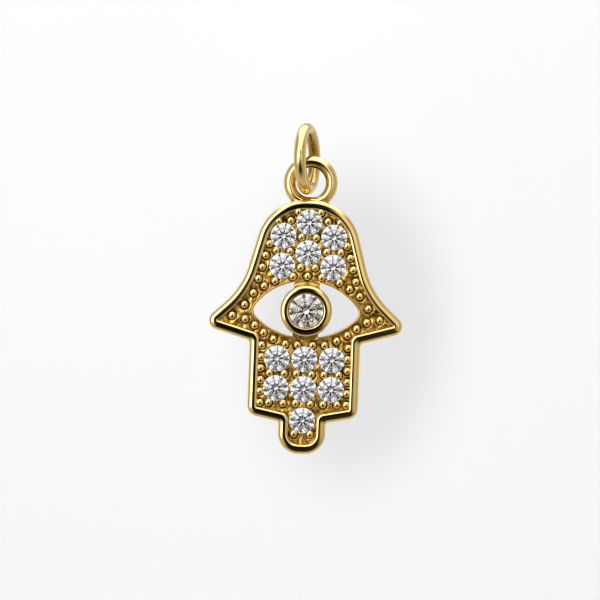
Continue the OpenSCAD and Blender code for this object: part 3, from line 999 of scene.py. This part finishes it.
def polished_gold_plate(name):
    """Gold-plated brass, tumbled and buffed: a clean mirror, barely softened by hairlines."""
    material, tree, shader, place = gold_plate(name, bpy.context.scene.hamsa_colours.polished)
    # Buffing marks about 0.25 mm long, drawn coarser than real so that they show at all
    grained(tree, shader, place, 0.25 * MM, 3.0, 0.6, 0.04, 0.09)
    # Slow waves of a hand-finished surface, about 0.6 mm apart
    waves = add_node(tree, "ShaderNodeTexNoise", Vector=place, Scale=1 / (0.6 * MM), Detail=1.0)
    bump = add_node(tree, "ShaderNodeBump", Strength=0.08, Distance=0.01 * MM, Height=waves.outputs["Fac"])
    tree.links.new(bump.outputs["Normal"], shader.inputs["Normal"])
    return material


def cast_gold_plate(name):
    """Gold-plated brass left as cast between the beads: bright but slightly grained, so it looks deeper."""
    material, tree, shader, place = gold_plate(name, bpy.context.scene.hamsa_colours.cast)
    # Grain of the investment, about 0.12 mm
    grains = grained(tree, shader, place, 0.12 * MM, 4.0, 0.55, 0.22, 0.34)
    bump = add_node(tree, "ShaderNodeBump", Strength=0.35, Distance=0.02 * MM, Height=grains)
    tree.links.new(bump.outputs["Normal"], shader.inputs["Normal"])
    return material


def cut_zirconia(name):
    """Cubic zirconia, cut and polished: clear, with a high index that throws light back in hard facets."""
    material, tree, shader = new_material(name)
    shader.inputs["Base Color"].default_value = bpy.context.scene.hamsa_colours.crystal
    shader.inputs["Roughness"].default_value = 0.0
    shader.inputs["IOR"].default_value = 2.17
    shader.inputs["Transmission Weight"].default_value = 1.0
    return material


def matte_paper(name):
    """Pale studio paper, uncoated: flat and even, so it only shows soft shade."""
    material, tree, shader = new_material(name)
    shader.inputs["Base Color"].default_value = bpy.context.scene.hamsa_colours.backdrop
    shader.inputs["Roughness"].default_value = 0.9
    return material


def woven_nylon_tent(name):
    """Woven nylon lit from outside: an even glow that the mirror metal shows as broad soft bands."""
    material, tree, lamp = new_material(name, "ShaderNodeEmission")
    glow = add_node(tree, "ShaderNodeAttribute", {"attribute_name": "glow"})
    tree.links.new(glow.outputs["Color"], lamp.inputs["Color"])
    return material


def black_knitted_net(name):
    """Black knitted net, as photographers hang before a lamp: it only thins the light."""
    material, tree, shader = new_material(name)
    shader.inputs["Base Color"].default_value = linear("#050505")
    shader.inputs["Roughness"].default_value = 1.0
    shader.inputs["Alpha"].default_value = 0.62
    return material


def soft_step(start, end, value):
    """From 0 at start to 1 at end, with soft ends."""
    t = min(max((value - start) / (end - start), 0.0), 1.0)
    return t * t * (3 - 2 * t)


def soft_window(middle, half, soft, value):
    """1 within half a width of the middle, in degrees round the axis, 0 a soft edge further out."""
    away = abs((value - middle + 180) % 360 - 180)
    return 1 - soft_step(half - soft / 2, half + soft / 2, away)


def tent_glow(off_axis, round_axis):
    """The tent's light in three colours, by degrees off the lens and anticlockwise round it from the right.

    A band is given by its two ends off the lens, a sector by its middle, half width and soft edge."""

    def band(start, end):
        return soft_step(start, end, off_axis)

    def sector(middle, half, soft):
        return soft_window(middle, half, soft, round_axis)

    left = sector(158, 42, 18)
    key = left * (2.0 * (1 - band(28, 46)) + 1.15 * (1 - band(36, 78)))
    far_left = 0.2 * left * band(64, 84) * (1 - band(96, 120))
    reflector = 0.42 * sector(36, 36, 30) * (1 - band(14, 62))
    dip = 0.12 * sector(10, 60, 30) * band(30, 50) * (1 - band(70, 96))
    overhead = 1.7 * sector(88, 34, 24) * band(18, 44)
    # Where the cloth opens: round the lens, below it and in a slit above
    width = 6 + 9 * sector(180, 80, 50)
    lens = 1 - band(width - 3, width + 4)
    below = sector(276, 48, 36) * (1 - band(36, 72))
    above = sector(90, 28, 18) * (1 - band(15, 38))
    cloth = 0.58 + 0.14 * band(80, 120) - far_left - dip + key + reflector + overhead
    glow = cloth * (1 - 0.99 * lens) * (1 - 0.96 * below) * (1 - 0.97 * above)
    # The two lamps are a little cooler than the cloth between them
    cool = (key + overhead) / cloth
    return glow, glow * (1 + 0.05 * cool), glow * (1 + 0.3 * cool)


def stone_glow(off_axis, round_axis):
    """The stones' light, by the same degrees: dark round the lens, so that the facets show."""
    lens = 1 - soft_step(13, 22, off_axis)
    under = soft_window(290, 70, 30, round_axis) * (1 - soft_step(38, 58, off_axis))
    side = soft_window(20, 22, 16, round_axis) * soft_step(24, 34, off_axis)
    side *= 1 - soft_step(56, 70, off_axis)
    return [1.4 * (1 - 0.97 * lens) * (1 - 0.75 * under) * (1 - 0.6 * side)] * 3


class HAMSA_OT_studio(bpy.types.Operator):
    """Set up the pale cove, the light tent, the lamps and the camera"""

    bl_idname = "hamsa.studio"
    bl_label = "Studio"

    def execute(self, context):
        scene = context.scene
        middle = (HAND_LOW + HAND_HIGH) / 2
        wall = 0.34
        self.backdrop(wall)
        self.soft_boxes(middle)
        self.spot(middle, wall)
        # The tent shows only in the metal, and a brighter cloth only through the stones
        self.dome("light_tent", middle, 0.2, 128, tent_glow).visible_transmission = False
        self.dome("stone_cloth", middle, 0.19, 110, stone_glow).visible_glossy = False
        self.camera(scene)
        scene.world = bpy.data.worlds.new("studio_air")
        scene.world.use_nodes = True
        air = scene.world.node_tree.nodes["Background"]
        air.inputs["Color"].default_value = linear("#FFFFFF")
        air.inputs["Strength"].default_value = 0.36
        scene.view_settings.view_transform = "Standard"
        return {"FINISHED"}

    def stage_mesh(self, name, points, faces, finish, smooth=False):
        thing = new_object(name, points, faces, finish, smooth)
        thing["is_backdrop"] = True
        return thing

    def backdrop(self, wall):
        """A cove of paper: level below the hand, then round and up to the wall behind it."""
        half, floor, bend = 0.9, -0.25, 0.2
        profile = [(-half, floor)]
        profile += [(wall - bend + bend * far, floor + bend * (1 - near)) for near, far in quarter(24)]
        profile.append((wall, half))
        points = [(x, y, z) for y, z in profile for x in (-half, half)]
        faces = [(2 * i, 2 * i + 1, 2 * i + 3, 2 * i + 2) for i in range(len(profile) - 1)]
        self.stage_mesh("backdrop", points, faces, matte_paper, smooth=True)

    def hang_lamp(self, lamp, place, target):
        """Hangs a lamp turned to its target, unseen by the camera, the metal and the stones."""
        thing = bpy.data.objects.new(lamp.name, lamp)
        thing.location = place
        thing.rotation_euler = (target - place).to_track_quat("-Z", "Y").to_euler()
        thing.visible_camera = thing.visible_glossy = thing.visible_transmission = False
        bpy.context.scene.collection.objects.link(thing)

    def soft_boxes(self, middle):
        """Soft boxes that light the paper."""
        distance = 0.42
        # Name, direction from the hand, width and height, radiance
        boxes = [
            ("key_soft_box", (-0.72, -0.62, 0.32), (0.5, 0.6), 1.0),
            ("fill_soft_box", (0.86, -0.5, 0.1), (0.3, 0.6), 0.5),
            ("top_soft_box", (-0.05, -0.45, 0.9), (0.55, 0.35), 1.0),
        ]
        for name, direction, size, radiance in boxes:
            lamp = bpy.data.lights.new(name, "AREA")
            lamp.shape = "RECTANGLE"
            lamp.size, lamp.size_y = size
            lamp.energy = radiance * math.pi * size[0] * size[1]
            self.hang_lamp(lamp, middle + Vector(direction).normalized() * distance, middle)

    def spot(self, middle, wall):
        """A soft-edged spot on the paper behind the hand, thinned by a net a little right of the hand."""
        lamp = bpy.data.lights.new("wall_spot", "SPOT")
        lamp.energy, lamp.spot_size, lamp.spot_blend = 8.6, math.radians(34), 1.0
        lamp.shadow_soft_size = 0.05
        place = Vector((0, -0.15, 0.5))
        self.hang_lamp(lamp, place, Vector((0, wall, middle.z)))
        shade = Vector((8 * MM, wall, middle.z - 4 * MM))
        near = place + (shade - place) * 0.9
        wide, tall, sides = 14 * MM, 22 * MM, 48
        turns = [2 * math.pi * k / sides for k in range(sides)]
        points = [near + Vector((wide * math.cos(t), 0, tall * math.sin(t))) for t in turns]
        net = self.stage_mesh("scrim", points, [range(sides)], black_knitted_net)
        net.visible_camera = net.visible_diffuse = net.visible_glossy = net.visible_transmission = False

    def dome(self, name, middle, reach, widest, glow):
        """Part of a sphere in front of the hand, out to widest degrees off the lens, that gives off light."""
        rows, columns = 60, 120
        points, glows = [], []
        for i in range(rows + 1):
            off = widest * i / rows
            flat, deep = math.sin(math.radians(off)), math.cos(math.radians(off))
            for k in range(columns):
                turn = 360 * k / columns
                x, z = flat * math.cos(math.radians(turn)), flat * math.sin(math.radians(turn))
                points.append(middle + Vector((x, -deep, z)) * reach)
                glows += [*glow(off, turn), 1.0]
        dome = self.stage_mesh(name, points, ring_faces(rows + 1, columns, closed=False), woven_nylon_tent)
        dome.data.color_attributes.new("glow", "FLOAT_COLOR", "POINT").data.foreach_set("color", glows)
        dome.visible_camera = dome.visible_diffuse = dome.visible_shadow = False
        return dome

    def camera(self, scene):
        """The photo's view: 600 pixels wide at 17 pixels a millimetre, with the hand leaning in it."""
        picture, scale = 600, 17 / MM
        eye_pixel = (306.1, 311.0)
        lean = math.radians(LEAN)
        distance = 0.2
        right = (picture / 2 - eye_pixel[0]) / scale
        down = (picture / 2 - eye_pixel[1]) / scale
        across = Vector((math.cos(lean), 0, math.sin(lean)))
        up = Vector((-math.sin(lean), 0, math.cos(lean)))
        back = Vector((0, -1, 0))
        target = Vector((EYE_MIDDLE.x, 0, EYE_MIDDLE.z)) + across * right - up * down
        lens = bpy.data.cameras.new("camera")
        lens.lens = lens.sensor_width * distance / (picture / scale)
        lens.clip_start, lens.clip_end = 0.01, 10
        place = Matrix((across, up, back)).transposed().to_4x4()
        place.translation = target + back * distance
        scene.camera = bpy.data.objects.new("camera", lens)
        scene.camera.matrix_world = place
        scene.collection.objects.link(scene.camera)


OPERATORS = (
    HAMSA_OT_rim,
    HAMSA_OT_floor,
    HAMSA_OT_beads,
    HAMSA_OT_bezel,
    HAMSA_OT_loop,
    HAMSA_OT_ring,
    HAMSA_OT_small_stones,
    HAMSA_OT_eye_stone,
    HAMSA_OT_studio,
)


class HAMSA_PT_pieces(bpy.types.Panel):
    """Lists the pendant's sizes and pieces"""

    bl_idname = "HAMSA_PT_pieces"
    bl_label = "Hamsa pendant"
    bl_space_type = "VIEW_3D"
    bl_region_type = "UI"
    bl_category = "Pendant"

    def draw(self, context):
        for name, group in GROUPS.items():
            column = self.layout.column(heading=group.__doc__)
            for key in group.__annotations__:
                column.prop(getattr(context.scene, name), key)
        for operator in OPERATORS:
            self.layout.operator(operator.bl_idname)


CLASSES = (*GROUPS.values(), *OPERATORS, HAMSA_PT_pieces)


def register():
    for each in CLASSES:
        bpy.utils.register_class(each)
    for name, group in GROUPS.items():
        setattr(bpy.types.Scene, name, PointerProperty(type=group))


def unregister():
    for name in GROUPS:
        delattr(bpy.types.Scene, name)
    for each in reversed(CLASSES):
        bpy.utils.unregister_class(each)


def main():
    register()
    for operator in OPERATORS:
        getattr(bpy.ops.hamsa, operator.bl_idname.split(".")[1])()
    boxes = {"cad": CAD_BOX, "visual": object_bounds()}
    {name: [list(corner) for corner in box] for name, box in boxes.items()}


if __name__ == "__main__":
    main()
